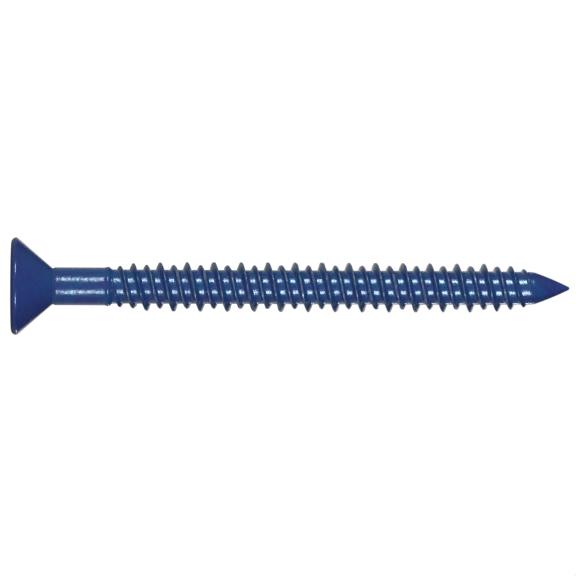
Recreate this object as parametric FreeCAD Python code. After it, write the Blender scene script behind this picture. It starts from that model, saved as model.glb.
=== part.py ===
import FreeCAD, Part
import math
import os
from FreeCAD import Vector

# Countersunk concrete screw with a twin-lead thread, rolled from one piece of steel wire.
# It stands on its head: the origin is the centre of the head's flat face, and +Z runs along
# the axis to the point. Lengths are in millimetres, angles in degrees, and a height is
# measured from the head's face.

# Driving dimensions
screw_length = 69.85

head_diameter = 12.23
head_cone_angle = 82.0
rim_height = 0.80
rim_chamfer = 0.35

shank_diameter = 4.72
neck_diameter = 4.52
neck_length = 0.22
collar_diameter = 4.98
collar_height = 12.13
collar_rise = 0.45
collar_fall = 0.62

core_diameter = 4.24
thread_lead = 3.373
thread_phase_height = 13.645
high_thread_diameter = 6.28
high_foot_width = 0.92
low_thread_diameter = 5.46
low_foot_width = 0.76
run_in_length = 3.20
run_out_length = 4.11

point_length = 4.34
point_shoulder_diameter = 3.96
point_bulge = 0.08
nose_diameter = 0.42
nose_length = 0.14

recess_span = 7.10
recess_wing_width = 2.30
recess_depth = 3.30
recess_edge_angle = 26.5
recess_side_angle = 2.9
recess_throat_diameter = 4.00
recess_floor_diameter = 3.40
recess_floor_angle = 118.0

# Sizes that follow from them
head_radius = head_diameter / 2
shank_radius = shank_diameter / 2
neck_radius = neck_diameter / 2
collar_radius = collar_diameter / 2
core_radius = core_diameter / 2
high_radius = high_thread_diameter / 2
low_radius = low_thread_diameter / 2
shoulder_radius = point_shoulder_diameter / 2
head_slope = math.tan(math.radians(head_cone_angle / 2))
neck_height = rim_height + (head_radius - neck_radius) / head_slope
shank_height = neck_height + neck_length
collar_foot = collar_height + collar_fall
shoulder_height = screw_length - point_length

# How far one form runs on inside the next, so that the two join cleanly
overlap = 0.25


def turned(points):
    """The solid that an outline of (radius, height) points sweeps in one turn about the axis."""
    corners = [Vector(radius, 0, height) for radius, height in points]
    outline = Part.Face(Part.makePolygon(corners + corners[:1]))
    return outline.revolve(Vector(0, 0, 0), Vector(0, 0, 1), 360)


def head_and_shank():
    """The head, the neck under it, the plain shank and the collar that the rolling dies raised."""
    neck_step = shank_radius - neck_radius
    collar_slope = (collar_radius - core_radius) / collar_fall
    end_height = collar_foot + overlap
    points = [
        (head_radius, rim_height),
        (neck_radius, neck_height),
        (neck_radius, shank_height),
        (shank_radius, shank_height + neck_step),
        (shank_radius, collar_height - collar_rise),
        (collar_radius, collar_height),
        (core_radius - overlap * collar_slope, end_height),
        (0, end_height),
        (0, 0),
        (head_radius - rim_chamfer, 0),
        (head_radius, rim_chamfer),
    ]
    return turned(points)


def thread_outline():
    """The (height, radius) corners of the thread's section over one lead: high ridge, low ridge."""
    corners = []
    ridges = [(0, high_foot_width, high_radius), (thread_lead / 2, low_foot_width, low_radius)]
    for centre, foot, radius in ridges:
        corners.append((centre - foot / 2, core_radius))
        corners.append((centre, radius))
        corners.append((centre + foot / 2, core_radius))
    return corners


def helix(radius, height):
    """One right-handed turn that starts on the +X side at a height."""
    turn = Part.makeHelix(thread_lead, thread_lead, radius)
    turn.translate(Vector(0, 0, height))
    return turn.Edges[0]


def thread_step(corners, height):
    """The two faces that close the thread's body where a turn begins: a ramp and an upright wall."""
    first_height, first_radius = corners[0]
    low_end = Vector(0, 0, height + first_height)
    high_end = Vector(0, 0, height + first_height + thread_lead)
    ramp = Part.makeRuledSurface(
        helix(first_radius, height + first_height), Part.LineSegment(low_end, high_end).toShape()
    )
    wall_points = [Vector(radius, 0, height + rise) for rise, radius in corners]
    wall_points.append(Vector(first_radius, 0, high_end.z))
    wall_points += [high_end, low_end, wall_points[0]]
    return [ramp, Part.Face(Part.makePolygon(wall_points))]


def threaded_rod(start_height, turns):
    """The core with both ridges: helical strips along the section's sides, turn after turn."""
    corners = thread_outline()
    next_corner = (corners[0][0] + thread_lead, corners[0][1])
    strips = []
    for (height, radius), (next_height, next_radius) in zip(corners, corners[1:] + [next_corner]):
        strips.append(Part.makeRuledSurface(helix(radius, height), helix(next_radius, next_height)))
    faces = thread_step(corners, start_height) + thread_step(corners, start_height + turns * thread_lead)
    for turn in range(turns):
        rise = Vector(0, 0, start_height + turn * thread_lead)
        faces += [strip.translated(rise) for strip in strips]
    shell = Part.makeShell(faces)
    shell.sewShape()
    return Part.makeSolid(shell)


def thread_envelope():
    """The turned form that bounds the thread: run-in, full height, run-out and the point."""
    start_height = (collar_height + collar_foot) / 2
    clear_radius = high_radius + 1
    run_in_slope = (high_radius - shank_radius) / run_in_length
    run_out_slope = (high_radius - shoulder_radius) / run_out_length
    nose_radius = nose_diameter / 2
    nose_height = screw_length - nose_length
    points = [
        (0, start_height),
        (shank_radius - (collar_foot - start_height) * run_in_slope, start_height),
        (clear_radius, collar_foot + (clear_radius - shank_radius) / run_in_slope),
        (clear_radius, shoulder_height - (clear_radius - shoulder_radius) / run_out_slope),
        (shoulder_radius, shoulder_height),
        ((shoulder_radius + nose_radius) / 2 + point_bulge, (shoulder_height + nose_height) / 2),
        (nose_radius, nose_height),
        (0, screw_length),
    ]
    return turned(points)


def thread_and_point():
    """The threaded rod, cut to its run-in, run-out and point."""
    turns_below = math.ceil((thread_phase_height - collar_height) / thread_lead) + 1
    start_height = thread_phase_height - turns_below * thread_lead
    turns = math.ceil((screw_length - start_height) / thread_lead) + 1
    return threaded_rod(start_height, turns).common(thread_envelope())


def recess_wing():
    """One tapered bar of the cross recess, from the head's face to the recess's floor."""
    edge_slope = math.tan(math.radians(recess_edge_angle))
    side_slope = math.tan(math.radians(recess_side_angle))
    sections = []
    for depth in (-overlap, recess_depth):
        reach = recess_span / 2 - depth * edge_slope
        side = recess_wing_width / 2 - depth * side_slope
        corners = [(reach, side), (-reach, side), (-reach, -side), (reach, -side), (reach, side)]
        sections.append(Part.makePolygon([Vector(x, y, depth) for x, y in corners]))
    return Part.makeLoft(sections, True, True)


def drive_recess():
    """The cross recess: two crossed wings, a round throat between them and a conical bottom."""
    throat_radius = recess_throat_diameter / 2
    floor_radius = recess_floor_diameter / 2
    floor_fall = floor_radius / math.tan(math.radians(recess_floor_angle / 2))
    throat = turned([
        (0, -overlap),
        (throat_radius, -overlap),
        (floor_radius, recess_depth),
        (0, recess_depth + floor_fall),
    ])
    wing = recess_wing()
    crossing = wing.copy()
    crossing.rotate(Vector(0, 0, 0), Vector(0, 0, 1), 90)
    return throat.fuse([wing, crossing])


def screw():
    """The whole screw as one solid."""
    blank = head_and_shank().fuse(thread_and_point())
    return blank.cut(drive_recess()).Solids[0]


os.makedirs("parts", exist_ok=True)
screw().exportStep("parts/concrete_screw.step")
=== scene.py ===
import math

import bpy
import numpy as np
from mathutils import Matrix, Vector, noise


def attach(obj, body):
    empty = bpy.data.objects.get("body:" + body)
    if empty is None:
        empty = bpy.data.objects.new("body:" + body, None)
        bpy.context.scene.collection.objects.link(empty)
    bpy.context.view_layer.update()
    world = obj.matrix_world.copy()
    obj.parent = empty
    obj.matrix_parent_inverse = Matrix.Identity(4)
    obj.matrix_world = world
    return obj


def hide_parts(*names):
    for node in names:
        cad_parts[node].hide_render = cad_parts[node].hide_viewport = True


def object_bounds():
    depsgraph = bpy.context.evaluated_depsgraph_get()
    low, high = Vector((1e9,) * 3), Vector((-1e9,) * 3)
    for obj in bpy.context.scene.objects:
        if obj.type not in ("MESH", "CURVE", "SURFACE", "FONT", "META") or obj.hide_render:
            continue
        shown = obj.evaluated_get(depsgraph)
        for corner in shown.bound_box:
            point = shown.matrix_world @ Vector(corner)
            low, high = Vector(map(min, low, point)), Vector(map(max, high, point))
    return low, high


# The blue-coated concrete screw, standing on its head. Shapes are worked out in millimetres on the
# solid's axes (origin in the middle of the head's face, +Z to the point) and turned into metres last.

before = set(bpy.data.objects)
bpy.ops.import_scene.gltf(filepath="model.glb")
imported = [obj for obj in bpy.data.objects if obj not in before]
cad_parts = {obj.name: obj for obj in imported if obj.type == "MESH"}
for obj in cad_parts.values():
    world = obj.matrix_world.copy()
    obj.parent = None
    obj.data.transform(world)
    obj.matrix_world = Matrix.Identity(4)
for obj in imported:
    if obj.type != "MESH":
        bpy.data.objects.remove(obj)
cad_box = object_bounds()

MM = 0.001
FULL_TURN = 2 * math.pi

# Sizes, in millimetres and degrees
COLUMNS = 108                      # steps round the axis
LENGTH = cad_box[1][2] / MM
SHARP_ANGLE = 40                   # faces that meet at more than this keep a sharp edge between them

# The thread: two ridges, a high and a low one, half a lead apart
THREAD_LEAD = 3.373
THREAD_PHASE = 13.585              # height of the high ridge's crest on the +X side
THREAD_BOTTOM = 12.20              # on the collar's lip, where no ridge stands proud yet
THREAD_TOP = 65.36                 # past the last of the run-out
HIGH = dict(rise=1.035, foot=0.86, crest_radius=0.10, foot_fillet=0.20)
LOW = dict(rise=0.625, foot=0.68, crest_radius=0.11, foot_fillet=0.20)
RIDGES = {True: HIGH, False: LOW}  # by whether the ridge is the high one
OFF_RIDGE = 9.0                    # an offset that lies past every ridge's foot
REACH_ROUNDING = 0.12              # how softly a ridge bends over into the reach
LEAST_WIDTH, WIDTH_GAIN = 0.55, 0.45   # the share of its width that a ridge keeps, and the rest of it

# Rolled crests aren't even: they wander a little, and here and there they don't close.
CREST_FROM = 0.70                  # share of a ridge's rise above which it is uneven
WEAR_AND_HIGHLIGHT_FROM = 0.80                   # share of a ridge's rise above which its coating is rubbed and a highlight is painted
PATTERN_RADIUS = 2.6
WANDER = 0.030
WANDER_PATTERN = dict(scale=0.55, shift=(3, 8, 1))
SPLIT_PATTERN = dict(scale=0.45, shift=(9, 2, 5))
SPLIT_LEVELS = (0.05, 0.45)        # values of the pattern between which a crest opens
SPLIT_SPREAD = 1.1                 # how far an open crest widens, as a share of the offset
# (distance from the crest's middle up to which it holds, change of rise): groove, sides and lips
SPLIT_SECTION = [(0.01, -0.10), (0.04, -0.03), (math.inf, 0.012)]

# The point
SHOULDER = (65.51, 1.985)          # height and radius where the point starts
NOSE = (69.71, 0.21)               # height and radius where its cone would end
POINT_BULGE = 0.08
NOSE_ROUNDING = 0.235
NOSE_ARC = (24, 80)
SHOULDER_HEIGHTS = np.arange(THREAD_TOP + 0.06, 66.0, 0.07)
POINT_HEIGHTS = np.arange(66.1, 69.45, 0.28)

# (height, radius) of the round body under the ridges, from the shank to the point's shoulder
BODY = [
    (5.60, 2.385), (11.66, 2.385), (11.80, 2.395), (12.06, 2.495), (12.17, 2.490), (12.40, 2.41),
    (12.56, 2.20), (12.74, 2.150), (25.0, 2.145), (27.0, 2.130), (58.0, 2.12), (61.0, 2.09),
    (64.40, 2.070), (65.10, 2.040), SHOULDER,
]
BODY_BLUR = 0.10                   # how far either way the corners are rounded off
# (height, radius) of the turned form that the ridges stay inside
REACH = [
    (12.30, 2.10), (12.75, 2.32), (13.60, 2.62), (15.30, 2.96), (17.0, 3.06), (20.3, 3.12),
    (24.0, 3.14), (46.0, 3.14), (50.0, 3.10), (59.5, 3.05), (61.0, 2.93), (62.5, 2.80),
    (64.1, 2.43), (64.6, 2.26), (65.1, 2.14), (65.36, 1.95),
]
REACH_BLUR = 0.45
BLUR_SAMPLES = 9
END_WEIGHT = 0.02                  # what the outermost samples still count

# The head, the neck and the shank
HEAD_RADIUS = cad_box[1][0] / MM
FACE_RADIUS = 5.15                 # of the ring on the face's flat, outside the recess
RIM_HEIGHT = 0.80
RIM_ARC = dict(centre_radius=5.40, width=0.70, height=0.60)
# (distance inside the head's radius, height) round the edge between the rim and the cone
RIM_EDGE = [(0.004, 0.60), (0.001, 0.66), (0.019, 0.76), (0.077, 0.86)]
CONE_ANGLE = 82
CONE_SLOPE = math.tan(math.radians(CONE_ANGLE / 2))
CONE_INSET = 0.012                 # in radius and height, inside a cone that starts at a sharp rim
CONE_HEIGHTS = (0.97, 1.10, 1.5, 2.1, 2.8, 3.5, 4.1, 4.5, 4.8, 5.0, 5.15)
# (radius, height) of the neck, a plain notch: the cone runs in, and a steep rise leads to the shank
NECK = [(2.272, 5.20), (2.288, 5.30), (2.325, 5.40), (2.359, 5.49), (2.380, 5.58), (2.385, 5.68)]
SHANK_HEIGHTS = [6.4, 7.4, 8.4, 9.4, 10.4, 11.2, 11.5, 11.64]
COLLAR_HEIGHTS = np.arange(11.70, 12.18, 0.05)

# The cross recess. Each pair holds for the head's face and for the wings' floor.
RECESS_DEPTH = 3.30
RECESS_REACH = (3.55, 1.905)
RECESS_HALF_WING = (1.15, 0.983)
RECESS_THROAT = (2.00, 1.70)
RECESS_CORNER = 0.16
# (depth, widening) of its outlines: a rounded mouth, tapered walls and a rounded edge to the floor
RECESS_LEVELS = [
    (0.0, 0.09), (0.025, 0.045), (0.09, 0.012), (0.2, 0.0), (1.0, 0.0), (1.9, 0.0), (2.7, 0.0),
    (3.22, 0.0), (3.30, -0.04),
]
RECESS_BOTTOM = 4.32
RECESS_BOTTOM_RADIUS = RECESS_THROAT[1] * 0.97
RECESS_BOTTOM_SHARES = (1.0, 0.7, 0.4, 0.15)   # of that radius, ring by ring
RECESS_BOTTOM_FALL = 0.98          # share of the bottom's depth that its straight side takes
RECESS_BLUNTING = 0.05


# Small helpers
def smooth_profile(points, blur, beyond_shoulder=None):
    """
    A function of height that follows (height, radius) points with its corners rounded off. Where
    beyond_shoulder is given, it takes over past the shoulder.
    """
    heights = np.array([height for height, _ in points])
    radii = np.array([radius for _, radius in points])
    steps = np.linspace(-1, 1, BLUR_SAMPLES) * blur
    weights = np.cos(steps / blur * math.pi / 2) ** 2 + END_WEIGHT
    weights /= weights.sum()

    def radius_at(z):
        samples = np.interp(z + steps, heights, radii)
        beyond = z + steps > SHOULDER[0]
        if beyond_shoulder and beyond.any():
            samples = np.where(beyond, beyond_shoulder(z + steps), samples)
        return float((weights * samples).sum())

    return radius_at


def point_radius(z):
    """The radius of the slightly bulging cone from the shoulder to the nose."""
    share = (z - SHOULDER[0]) / (NOSE[0] - SHOULDER[0])
    return SHOULDER[1] + (NOSE[1] - SHOULDER[1]) * share + 4 * POINT_BULGE * share * (1 - share)


def soft_min(a, b, width):
    """The lesser of two values, rounded where they cross."""
    h = max(width - abs(a - b), 0) / width
    return min(a, b) - h * h * width / 4


def smooth_step(low, high, x):
    """0 below low, 1 above high, and a smooth rise between them."""
    t = min(max((x - low) / (high - low), 0), 1)
    return t * t * (3 - 2 * t)


def between(ends, share):
    """The value at a share of the way from one end to the other."""
    return ends[0] + (ends[1] - ends[0]) * share


body_radius = smooth_profile(BODY, BODY_BLUR, point_radius)
reach_radius = smooth_profile(REACH, REACH_BLUR)


class Shape:
    """Vertices and faces of one closed surface, with a value for each vertex of rubbed coating and
    painted highlight on the crests.
    """

    def __init__(self):
        self.points, self.faces, self.wear_and_highlight = [], [], []

    def add(self, x, y, z, wear_and_highlight=0.0):
        """One vertex, given in millimetres. Gives back its number."""
        self.points.append((x * MM, y * MM, z * MM))
        self.wear_and_highlight.append(wear_and_highlight)
        return len(self.points) - 1

    def ring(self, radius, height):
        """A horizontal ring of COLUMNS vertices."""
        made = []
        for i in range(COLUMNS):
            a = FULL_TURN * i / COLUMNS
            made.append(self.add(radius * math.cos(a), radius * math.sin(a), height))
        return made

    def join(self, lower, upper):
        """Four-sided faces between two rings with as many vertices."""
        n = len(lower)
        for i in range(n):
            k = (i + 1) % n
            self.faces.append((lower[i], lower[k], upper[k], upper[i]))

    def close(self, ring, height):
        """Triangles from a ring to a point on the axis."""
        tip = self.add(0, 0, height)
        for i in range(len(ring)):
            self.faces.append((ring[i], ring[(i + 1) % len(ring)], tip))

    def fill_between(self, outer, inner):
        """Triangles in the plane between two rings with different numbers of vertices."""
        def in_order(ring):
            angles = [math.atan2(self.points[v][1], self.points[v][0]) % FULL_TURN for v in ring]
            angles = [0.0 if a > FULL_TURN - 1e-9 else a for a in angles]
            start = angles.index(min(angles))
            ring, angles = ring[start:] + ring[:start], angles[start:] + angles[:start]
            return ring + ring[:1], angles + [angles[0] + FULL_TURN]

        outer, outer_angles = in_order(outer)
        inner, inner_angles = in_order(inner)
        last_outer, last_inner = len(outer) - 1, len(inner) - 1
        i, j = 0, 0
        while i < last_outer or j < last_inner:
            if j == last_inner or (i < last_outer and outer_angles[i + 1] <= inner_angles[j + 1]):
                self.faces.append((outer[i + 1], outer[i], inner[j]))
                i += 1
            else:
                self.faces.append((outer[i], inner[j], inner[j + 1]))
                j += 1


# The thread
def ridge_outline(rise, foot, crest_radius, foot_fillet):
    """(offset, rise) points over one ridge: fillet, straight flank, rounded crest, and back down."""
    half, crest_centre = foot / 2, rise - crest_radius
    lean = math.acos(crest_radius / math.hypot(half, crest_centre)) - math.atan2(crest_centre, half)
    fillet_x = half + foot_fillet * (1 - math.sin(lean)) / math.cos(lean)
    side = []
    for t in np.linspace(math.radians(270), math.pi + lean, 4):
        side.append((fillet_x + foot_fillet * math.cos(t), foot_fillet * (1 + math.sin(t))))
    flank_foot = np.array(side[-1])
    flank_top = np.array((crest_radius * math.cos(lean), crest_centre + crest_radius * math.sin(lean)))
    for share in (0.33, 0.67):
        side.append(tuple(flank_foot * (1 - share) + flank_top * share))
    for t in np.linspace(lean, math.pi / 2, 5)[:-1]:
        side.append((crest_radius * math.cos(t), crest_centre + crest_radius * math.sin(t)))
    left = [(-x, h) for x, h in side]
    return left + [(0.0, rise)] + side[::-1]


OUTLINES = {is_high: np.array(ridge_outline(**ridge)) for is_high, ridge in RIDGES.items()}


def thread_section():
    """(offset, offset from the ridge's middle, is_high) over one lead, from low to high."""
    section = []
    for middle, is_high in ((0.0, True), (THREAD_LEAD / 2, False)):
        section += [(middle + x, x, is_high) for x, _ in ridge_outline(**RIDGES[is_high])]
    half = len(section) // 2
    gaps = [(section[half - 1][0], section[half][0]), (section[-1][0], section[0][0] + THREAD_LEAD)]
    for gap in gaps:
        section += [(between(gap, share), OFF_RIDGE, False) for share in (0.25, 0.5, 0.75)]
    return sorted(section)


def ridge_rise(offset, is_high, room):
    """A ridge's rise beside its middle. Where the reach leaves less room it is lower and narrower."""
    outline = OUTLINES[is_high]
    full = RIDGES[is_high]["rise"]
    share = min(max(soft_min(room, full, REACH_ROUNDING) / full, 0), 1)
    if share == 0:
        return 0.0
    width = LEAST_WIDTH + WIDTH_GAIN * share
    return share * float(np.interp(offset / width, outline[:, 0], outline[:, 1], 0, 0))


def pattern(place, scale, shift):
    """Smooth noise at a place."""
    return noise.noise(place * scale + Vector(shift))


def uneven_crest(rise, z, angle, offset, crest_share):
    """The rise and height of a vertex once its crest wanders and, here and there, stays open."""
    place = Vector((math.cos(angle) * PATTERN_RADIUS, math.sin(angle) * PATTERN_RADIUS, z))
    rise += crest_share * WANDER * pattern(place, **WANDER_PATTERN)
    split = smooth_step(*SPLIT_LEVELS, pattern(place, **SPLIT_PATTERN))
    change = next(change for distance, change in SPLIT_SECTION if abs(offset) < distance)
    rise += crest_share * split * change
    return rise, z + crest_share * split * SPLIT_SPREAD * offset


def add_thread(shape):
    """The helical band with both ridges. Gives back its bottom and top rings."""
    section = thread_section()
    rows = len(section)
    first_turn = math.floor((THREAD_BOTTOM - THREAD_PHASE) / THREAD_LEAD) - 1

    def height(row, column):
        turn, k = divmod(row, rows)
        return THREAD_PHASE + section[k][0] + THREAD_LEAD * (turn + first_turn + column / COLUMNS)

    def nearest_row(level, column):
        row = 0
        while height(row, column) < level:
            row += 1
        return row if height(row, column) - level < level - height(row - 1, column) else row - 1

    grid, spans = {}, []
    for column in range(COLUMNS):
        low, high = nearest_row(THREAD_BOTTOM, column), nearest_row(THREAD_TOP, column)
        spans.append((low, high))
        ends = {low: THREAD_BOTTOM, high: THREAD_TOP}
        angle = FULL_TURN * column / COLUMNS
        for row in range(low, high + 1):
            z = ends.get(row, height(row, column))
            _, offset, is_high = section[row % rows]
            body = body_radius(z)
            rise = ridge_rise(offset, is_high, reach_radius(z) - body)
            share = rise / RIDGES[is_high]["rise"]
            # How high up its ridge a vertex is, for the rubbed coating and the painted highlight on the
            # crests.
            wear_and_highlight = smooth_step(WEAR_AND_HIGHLIGHT_FROM, 1.0, share)
            rise, z = uneven_crest(rise, z, angle, offset, smooth_step(CREST_FROM, 1.0, share))
            radius = body + rise
            grid[row, column] = shape.add(radius * math.cos(angle), radius * math.sin(angle), z, wear_and_highlight)

    for column in range(COLUMNS):
        following = (column + 1) % COLUMNS
        shift = rows if following == 0 else 0       # a turn further on, the same row lies a lead up
        low, high = spans[column]
        next_low, next_high = spans[following][0] - shift, spans[following][1] - shift

        def right(row):
            return grid[row + shift, following]

        for row in range(next_low, low):
            shape.faces.append((grid[low, column], right(row), right(row + 1)))
        for row in range(low, next_high):
            shape.faces.append((grid[row, column], right(row), right(row + 1), grid[row + 1, column]))
        for row in range(next_high, high):
            shape.faces.append((grid[row, column], right(next_high), grid[row + 1, column]))
    bottom = [grid[spans[c][0], c] for c in range(COLUMNS)]
    top = [grid[spans[c][1], c] for c in range(COLUMNS)]
    return bottom, top


# Head, recess, shank and point
def recess_loop(shape, depth, widening):
    """One outline of the cross recess at a depth, anticlockwise seen from the point's side."""
    share = depth / RECESS_DEPTH
    reach = between(RECESS_REACH, share) + widening
    half = between(RECESS_HALF_WING, share) + widening
    throat = between(RECESS_THROAT, share) + widening
    # An eighth of the outline: along the wing's end, round its corner, along its side, into the throat.
    eighth = [(reach, y) for y in np.linspace(0, half - RECESS_CORNER, 4)]
    for t in np.linspace(0, math.pi / 2, 5)[1:]:
        end, side = RECESS_CORNER * (1 - math.cos(t)), RECESS_CORNER * (1 - math.sin(t))
        eighth.append((reach - end, half - side))
    join_angle = math.asin(half / throat)
    wing_side = (reach - RECESS_CORNER, throat * math.cos(join_angle))
    eighth += [(between(wing_side, s), half) for s in (0.3, 0.6, 0.85, 0.96)]
    for t in np.linspace(join_angle, math.pi / 4, 5):
        eighth.append((throat * math.cos(t), throat * math.sin(t)))
    mirrored = [(y, x) for x, y in eighth[::-1]]
    quarter = eighth[:-1] + mirrored[:-1]
    made = []
    for turn in range(4):
        c, s = round(math.cos(turn * math.pi / 2)), round(math.sin(turn * math.pi / 2))
        made += [shape.add(c * x - s * y, s * x + c * y, depth) for x, y in quarter]
    return made


def add_recess(shape, face_ring):
    """The cross recess, from the head's face to its conical bottom."""
    loops = [recess_loop(shape, depth, widening) for depth, widening in RECESS_LEVELS]
    shape.fill_between(face_ring, loops[0])
    for outer, inner in zip(loops, loops[1:]):
        shape.join(outer, inner)
    floor_edge = last = loops[-1]
    for share in RECESS_BOTTOM_SHARES:
        depth = RECESS_DEPTH + (RECESS_BOTTOM - RECESS_DEPTH) * (1 - share) * RECESS_BOTTOM_FALL
        radius = RECESS_BOTTOM_RADIUS * share
        ring = []
        for v in floor_edge:
            a = math.atan2(shape.points[v][1], shape.points[v][0])
            ring.append(shape.add(radius * math.cos(a), radius * math.sin(a), depth))
        shape.join(last, ring)
        last = ring
    shape.close(last, RECESS_BOTTOM - RECESS_BLUNTING)


def head_profile():
    """(radius, height) points from the face's flat, round the rim and down the cone to the collar."""
    points = [(FACE_RADIUS, 0.0)]
    for t in np.linspace(0, math.pi / 2, 9):
        points.append((RIM_ARC["centre_radius"] + RIM_ARC["width"] * math.sin(t),
                       RIM_ARC["height"] * (1 - math.cos(t))))
    points += [(HEAD_RADIUS - inset, z) for inset, z in RIM_EDGE]
    for z in CONE_HEIGHTS:
        points.append((HEAD_RADIUS - CONE_INSET - (z - RIM_HEIGHT + CONE_INSET) * CONE_SLOPE, z))
    points += NECK
    return points + [(body_radius(z), z) for z in [*SHANK_HEIGHTS, *COLLAR_HEIGHTS]]


def point_profile():
    """(radius, height) points from the end of the thread to the rounded nose."""
    points = [(body_radius(z), z) for z in [*SHOULDER_HEIGHTS, *POINT_HEIGHTS]]
    centre = LENGTH - NOSE_ROUNDING
    for t in np.linspace(math.radians(NOSE_ARC[0]), math.radians(NOSE_ARC[1]), 6):
        points.append((NOSE_ROUNDING * math.cos(t), centre + NOSE_ROUNDING * math.sin(t)))
    return points


def build_screw():
    """The whole screw as one closed mesh."""
    shape = Shape()
    bottom, top = add_thread(shape)
    rings = [shape.ring(radius, height) for radius, height in head_profile()]
    for lower, upper in zip(rings, rings[1:] + [bottom]):
        shape.join(lower, upper)
    add_recess(shape, rings[0])
    last = top
    for radius, height in point_profile():
        ring = shape.ring(radius, height)
        shape.join(last, ring)
        last = ring
    shape.close(last, LENGTH)

    mesh = bpy.data.meshes.new("screw_body")
    mesh.from_pydata(shape.points, [], shape.faces)
    mesh.validate()
    # The crests' rubbed coating and painted highlight, handed on to the material.
    mesh.attributes.new("wear_and_highlight", "FLOAT", "POINT").data.foreach_set("value", shape.wear_and_highlight)
    mesh.shade_smooth()
    mesh.set_sharp_from_angle(angle=math.radians(SHARP_ANGLE))
    piece = bpy.data.objects.new("screw_body", mesh)
    bpy.context.collection.objects.link(piece)
    return piece


# Material
class Nodes:
    """Short calls for building a node tree."""

    def __init__(self, tree):
        self.tree = tree
        tree.nodes.clear()

    def add(self, kind, inputs=None, **settings):
        """A node with its settings and its inputs, each a value or another node's output."""
        node = self.tree.nodes.new(kind)
        for name, value in settings.items():
            setattr(node, name, value)
        for name, value in (inputs or {}).items():
            self.put(node.inputs[name], value)
        return node

    def put(self, socket, value):
        if isinstance(value, bpy.types.NodeSocket):
            self.tree.links.new(value, socket)
        else:
            socket.default_value = value

    def math(self, operation, a, b=0.0, c=0.0):
        return self.add("ShaderNodeMath", {0: a, 1: b, 2: c}, operation=operation).outputs[0]

    def noise(self, vector, scale, detail=2.0, roughness=0.5, offset=None):
        """A noise pattern, with its scale to the millimetre."""
        if offset:
            vector = self.add("ShaderNodeVectorMath", {0: vector, 1: offset}).outputs[0]
        inputs = {"Vector": vector, "Scale": scale, "Detail": detail, "Roughness": roughness}
        return self.add("ShaderNodeTexNoise", inputs).outputs["Fac"]

    def ramp(self, value, low, high, to_low=0.0, to_high=1.0):
        """A smooth change from to_low, where the value is low, to to_high, where it is high."""
        inputs = {"Value": value, "From Min": low, "From Max": high, "To Min": to_low, "To Max": to_high}
        return self.add("ShaderNodeMapRange", inputs, interpolation_type="SMOOTHSTEP").outputs[0]

    def mix(self, factor, a, b):
        """Colour a where the factor is 0, and b where it is 1."""
        node = self.add("ShaderNodeMix", data_type="RGBA")
        for name, value in (("Factor", factor), ("A", a), ("B", b)):
            socket = [s for s in node.inputs if s.name == name and s.enabled][0]
            self.put(socket, value)
        return [s for s in node.outputs if s.enabled][0]


def rgb(r, g, b):
    return (r, g, b, 1.0)


# The coating's colours
VIOLET = rgb(0.037, 0.038, 0.225)
TEAL = rgb(0.018, 0.072, 0.252)
CLOUD_BLUE = rgb(0.028, 0.088, 0.350)
SPECKLE_BLUE = rgb(0.040, 0.135, 0.380)
DARK_BLUE = rgb(0.012, 0.034, 0.140)
# Lighter grey on the crests: partly rubbed coating, partly a painted highlight.
RUBBED_GREY_AND_HIGHLIGHT = rgb(0.215, 0.207, 0.345)

# How far the patterns replace the colour under them
HEAD_TEAL = 0.35                   # the share of the patches' teal that the head has
CLOUD_SHARE = 0.30
SPECKLE_SHARE = 0.45
DARK_SHARE = 0.45
RUBBED_AND_HIGHLIGHT_LEAST, RUBBED_AND_HIGHLIGHT_GAIN = 0.20, 0.70   # along a whole crest, and in places along it: rubbed coating and painted highlight

# Heights, in millimetres, between which one kind of surface goes over into the next
HEAD_END = (3.6, 5.8)
ROLLED_START = (12.4, 13.6)
ROLLED_END = (66.5, 65.0)          # from the point back to the thread

BUMP_DEPTH = 0.000030              # in metres
GRAIN_LEAST, GRAIN_GAIN = 0.17, 0.08     # against the orange peel: everywhere, and on the thread
ROUGHNESS = (0.20, 0.28)


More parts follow.
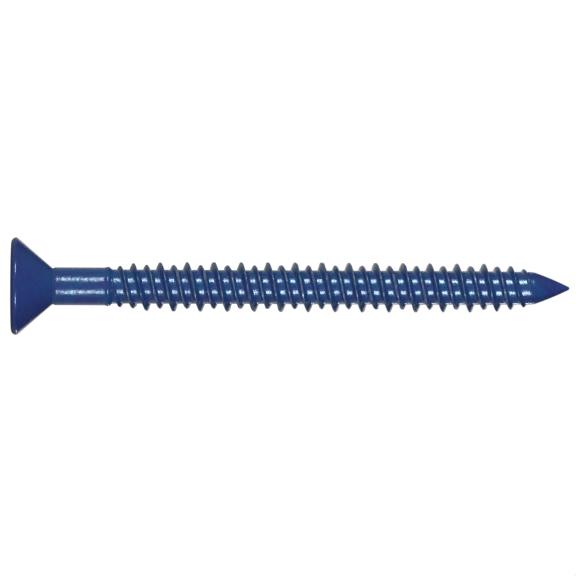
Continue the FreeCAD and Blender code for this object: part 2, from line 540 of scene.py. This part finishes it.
def blue_coating():
    """The glossy blue coating, patchy in colour, coarser on the thread, rubbed on its crests and with a
    painted highlight along them.
    """
    material = bpy.data.materials.new("blue_coating")
    material.use_nodes = True
    n = Nodes(material.node_tree)
    place = n.add("ShaderNodeTexCoord").outputs["Object"]
    mm = n.add("ShaderNodeVectorMath", {0: place, 1: (1000, 1000, 1000)}, operation="MULTIPLY").outputs[0]
    # Where the crests are rubbed, and painted lighter as a highlight.
    wear_and_highlight = n.add("ShaderNodeAttribute", attribute_name="wear_and_highlight").outputs["Fac"]
    z = n.add("ShaderNodeSeparateXYZ", {0: mm}).outputs["Z"]

    # The blue goes from violet to teal in soft patches, and the head keeps mostly to the violet.
    patches = n.ramp(n.noise(mm, scale=0.45, detail=3.0), 0.36, 0.64)
    patches = n.math("MULTIPLY", patches, n.ramp(z, *HEAD_END, HEAD_TEAL, 1.0))
    clouds = n.ramp(n.noise(mm, scale=2.2, detail=3.0, offset=(7, 3, 11)), 0.30, 0.70)
    colour = n.mix(patches, VIOLET, TEAL)
    colour = n.mix(n.math("MULTIPLY", clouds, CLOUD_SHARE), colour, CLOUD_BLUE)

    # Rolling left the thread coarser than the shank and the point: finer, stronger mottling there.
    rolled = n.math("MULTIPLY", n.ramp(z, *ROLLED_START), n.ramp(z, *ROLLED_END))
    light = n.ramp(n.noise(mm, scale=4.6, roughness=0.6, offset=(6, 1, 3)), 0.36, 0.66)
    light = n.math("MULTIPLY", n.math("MULTIPLY", light, rolled), SPECKLE_SHARE)
    colour = n.mix(light, colour, SPECKLE_BLUE)
    dark = n.ramp(n.noise(mm, scale=3.1, roughness=0.6, offset=(2, 7, 5)), 0.58, 0.40)
    dark = n.math("MULTIPLY", n.math("MULTIPLY", dark, rolled), DARK_SHARE)
    colour = n.mix(dark, colour, DARK_BLUE)

    # Crests rubbed thin show lighter and greyer, in a broken line, and this lighter grey is also a
    # painted highlight along the crests.
    rubbed_and_highlight = n.ramp(n.noise(mm, scale=1.6, detail=4.0, roughness=0.6, offset=(1, 5, 2)), 0.40, 0.60)
    rubbed_and_highlight = n.math("MULTIPLY_ADD", rubbed_and_highlight, RUBBED_AND_HIGHLIGHT_GAIN, RUBBED_AND_HIGHLIGHT_LEAST)
    rubbed_and_highlight = n.math("MULTIPLY", rubbed_and_highlight, wear_and_highlight)
    colour = n.mix(rubbed_and_highlight, colour, RUBBED_GREY_AND_HIGHLIGHT)

    # A slight orange peel all over, with a finer grain in it that is a little stronger on the thread.
    peel = n.noise(mm, scale=1.9, roughness=0.55, offset=(4, 4, 9))
    grain = n.noise(mm, scale=5.0)
    grain_share = n.math("MULTIPLY_ADD", rolled, GRAIN_GAIN, GRAIN_LEAST)
    height = n.math("MULTIPLY_ADD", grain, grain_share, peel)
    bump = n.add("ShaderNodeBump", {"Strength": 1.0, "Distance": BUMP_DEPTH, "Height": height})

    roughness = n.ramp(n.noise(mm, scale=1.3, detail=3.0, offset=(2, 9, 6)), 0.3, 0.7, *ROUGHNESS)
    shader = n.add("ShaderNodeBsdfPrincipled", {
        "Base Color": colour, "Metallic": 0.10, "Roughness": roughness, "IOR": 1.45,
        "Specular IOR Level": 0.12, "Coat Weight": 1.0, "Coat Roughness": 0.20, "Coat IOR": 1.60,
        "Normal": bump.outputs[0], "Coat Normal": bump.outputs[0]})
    n.add("ShaderNodeOutputMaterial", {"Surface": shader.outputs[0]})
    return material


screw = build_screw()
screw.data.materials.append(blue_coating())
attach(screw, "root")
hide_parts("concrete_screw")


# Floor, world and lamps, in metres and degrees. Up in the photograph is -X, and the camera looks
# along +Y.
WHITE = rgb(1, 1, 1)
FLOOR_HALF_SIZE = 30.0
FLOOR_COLOUR = rgb(0.42, 0.33, 0.35)

SIDE_TINT = rgb(0.75, 1.10, 1.0)
BEAM_TINT = rgb(0.60, 1.26, 1.0)
GLOSS_TINT = rgb(0.97, 1.0, 1.0)
BEAM_DIRECTION = (-0.70, 0.25, 0.67)
BEAM_GAIN = 5.5

LAMP_DISTANCE = 0.60
BOX_SIZE = (0.19, 0.30)
GLINT_SIZE = (0.09, 0.09)
GLINT_COLOUR = (0.97, 1.0, 1.03)


def make_floor():
    """A pale floor that shows white and keeps the screw's shadow."""
    size = FLOOR_HALF_SIZE
    mesh = bpy.data.meshes.new("floor")
    mesh.from_pydata([(-size, -size, 0), (size, -size, 0), (size, size, 0), (-size, size, 0)],
                     [], [(0, 1, 2, 3)])
    floor = bpy.data.objects.new("floor", mesh)
    bpy.context.collection.objects.link(floor)
    material = bpy.data.materials.new("pale_floor")
    material.use_nodes = True
    n = Nodes(material.node_tree)
    path = n.add("ShaderNodeLightPath").outputs
    place = n.add("ShaderNodeTexCoord").outputs["Object"]
    y = n.add("ShaderNodeSeparateXYZ", {0: place}).outputs["Y"]
    # In gloss the floor is dimmer than to the eye, and dark on the camera's side.
    in_gloss = n.math("MULTIPLY", path["Is Glossy Ray"], n.ramp(y, 0.0, 0.25, 0.02, 0.45))
    shown = n.math("MAXIMUM", n.math("MAXIMUM", path["Is Camera Ray"], in_gloss),
                   path["Is Transmission Ray"])
    diffuse = n.add("ShaderNodeBsdfDiffuse", {"Color": FLOOR_COLOUR})
    # Near the screw the lamps do more of the whitening, so that its shadow stays.
    away = n.add("ShaderNodeVectorMath", {0: place}, operation="LENGTH").outputs["Value"]
    strength = n.math("MULTIPLY", shown, n.ramp(away, 0.10, 0.60, 0.89, 0.96))
    glow = n.add("ShaderNodeEmission", {"Color": WHITE, "Strength": strength})
    both = n.add("ShaderNodeAddShader", {0: diffuse.outputs[0], 1: glow.outputs[0]})
    n.add("ShaderNodeOutputMaterial", {"Surface": both.outputs[0]})
    mesh.materials.append(material)


def make_world():
    """A white backdrop in a dark studio, with soft fill light."""
    world = bpy.data.worlds.new("studio")
    bpy.context.scene.world = world
    world.use_nodes = True
    n = Nodes(world.node_tree)
    path = n.add("ShaderNodeLightPath").outputs
    direction = n.add("ShaderNodeTexCoord").outputs["Generated"]
    x, y, z = n.add("ShaderNodeSeparateXYZ", {0: direction}).outputs
    # The backdrop shows white, in gloss dimmer than to the eye. The rest of the studio is dark.
    gloss = n.math("MULTIPLY", path["Is Glossy Ray"], n.ramp(y, 0.86, 1.0, 0.02, 0.90))
    seen = n.math("MAXIMUM", path["Is Camera Ray"], path["Is Transmission Ray"])
    # The fill is stronger from behind and from the point's side, and strongest in one soft beam
    # from above in the photograph and from the point's side.
    fill = n.math("MULTIPLY", path["Is Diffuse Ray"], n.ramp(y, -0.6, 1.0, 0.075, 0.225))
    fill = n.math("MULTIPLY", fill, n.ramp(z, 0.1, 0.9, 1.0, 1.6))
    beam = n.add("ShaderNodeVectorMath", {0: direction, 1: BEAM_DIRECTION}, operation="DOT_PRODUCT")
    beam = n.ramp(beam.outputs["Value"], 0.68, 1.0)
    fill = n.math("MULTIPLY", fill, n.math("MULTIPLY_ADD", beam, BEAM_GAIN, 1.0))
    level = n.math("MAXIMUM", n.math("MAXIMUM", gloss, seen), fill)
    # The fill from the sides and the beam are a little greener than the rest.
    sideways = n.math("MULTIPLY", path["Is Diffuse Ray"], n.ramp(n.math("ABSOLUTE", x), 0.25, 0.9))
    tint = n.mix(sideways, WHITE, SIDE_TINT)
    tint = n.mix(n.math("MULTIPLY", path["Is Diffuse Ray"], beam), tint, BEAM_TINT)
    tint = n.mix(path["Is Glossy Ray"], tint, GLOSS_TINT)
    back = n.add("ShaderNodeBackground", {"Color": tint, "Strength": level})
    n.add("ShaderNodeOutputWorld", {"Surface": back.outputs[0]})


def soft_box(name, azimuth, elevation, size, radiance, colour):
    """
    A rectangular lamp that faces the screw's middle. Azimuth 0 is on the camera's side and 90 at +X,
    and elevation leans towards the point.
    """
    lamp = bpy.data.lights.new(name, "AREA")
    lamp.shape = "RECTANGLE"
    lamp.size, lamp.size_y = size
    lamp.energy = radiance * math.pi * size[0] * size[1]
    lamp.color = colour
    box = bpy.data.objects.new(name, lamp)
    a, e = math.radians(azimuth), math.radians(elevation)
    centre = Vector((0, 0, LENGTH / 2 * MM))
    towards = Vector((math.sin(a) * math.cos(e), -math.cos(a) * math.cos(e), math.sin(e)))
    box.location = centre + towards * LAMP_DISTANCE
    box.rotation_mode = "QUATERNION"
    box.rotation_quaternion = (-towards).to_track_quat("-Z", "Y")
    box.visible_camera = False
    bpy.context.collection.objects.link(box)


make_floor()
make_world()
# Two boxes draw the bright lines along the shank, and two small lamps behind the screw the glints in
# the thread's roots at its upper and lower edges.
soft_box("box_upper", -44, 0, BOX_SIZE, 15.5, (0.84, 1.13, 1.00))
soft_box("box_lower", 35, 0, BOX_SIZE, 15.5, (0.86, 1.08, 1.02))
soft_box("glint_lower", 138, 5.5, GLINT_SIZE, 7.0, GLINT_COLOUR)
soft_box("glint_upper", -138, 5.5, GLINT_SIZE, 1.0, GLINT_COLOUR)


# Camera
CAMERA_DISTANCE = 1.5              # in metres
SENSOR_WIDTH = 36.0                # in millimetres, as cameras give it
FRAME_WIDTH = 0.07206              # metres that the photograph shows from side to side
CAMERA_AIM = (0.053, 0, 34.645)    # in millimetres
CAMERA_TILT = 0.25                 # the screw's dip in the photograph, in degrees


def make_camera():
    """The photograph shows the screw lying level, so the camera is turned on its side."""
    data = bpy.data.cameras.new("camera")
    data.sensor_width = SENSOR_WIDTH
    data.lens = SENSOR_WIDTH * CAMERA_DISTANCE / FRAME_WIDTH
    data.clip_start, data.clip_end = 0.01, 100.0
    camera = bpy.data.objects.new("camera", data)
    tilt = math.radians(CAMERA_TILT)
    right = Vector((-math.sin(tilt), 0, math.cos(tilt)))
    up = Vector((-math.cos(tilt), 0, -math.sin(tilt)))
    back = right.cross(up)
    turn = Matrix((right, up, back)).transposed()
    aim = Vector([value * MM for value in CAMERA_AIM])
    camera.matrix_world = Matrix.Translation(aim + back * CAMERA_DISTANCE) @ turn.to_4x4()
    bpy.context.collection.objects.link(camera)
    bpy.context.scene.camera = camera


make_camera()
bpy.context.scene.view_settings.view_transform = "Standard"
